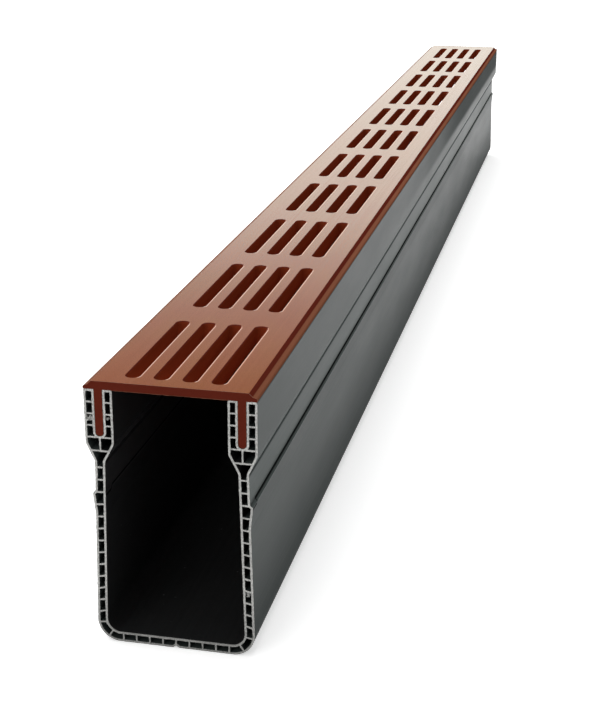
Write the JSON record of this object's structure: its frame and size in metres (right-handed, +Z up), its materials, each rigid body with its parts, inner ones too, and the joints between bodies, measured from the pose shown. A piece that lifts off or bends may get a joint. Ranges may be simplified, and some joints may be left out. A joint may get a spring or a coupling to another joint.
{
  "type": "channel drain",
  "caption": "straight linear drainage channel with hollow twin-wall sides and floor, and a slotted grate whose legs plug into grooves along the tops of the walls",
  "frame": {"origin": "middle of the length, on the centre line of the underside", "axes": "+X across the channel, +Y along the channel from the near cut end to the far one, +Z up"},
  "size_m": [0.1004, 1.5, 0.1633],
  "materials": {
    "channel_pvc": "mid-grey extruded rigid PVC with a satin skin, sawn ends paler",
    "grate_pvc": "terracotta-brown extruded rigid PVC, glossy on top with fine lines along the length"
  },
  "bodies": {
    "channel": {"channel": "channel_pvc"},
    "grate": {"grate": "grate_pvc"}
  },
  "joints": [
    {"name": "grate_lift", "type": "slide", "parent": "channel", "child": "grate", "axis": [0, 0, 1], "range_m": [0, 0.04]}
  ]
}
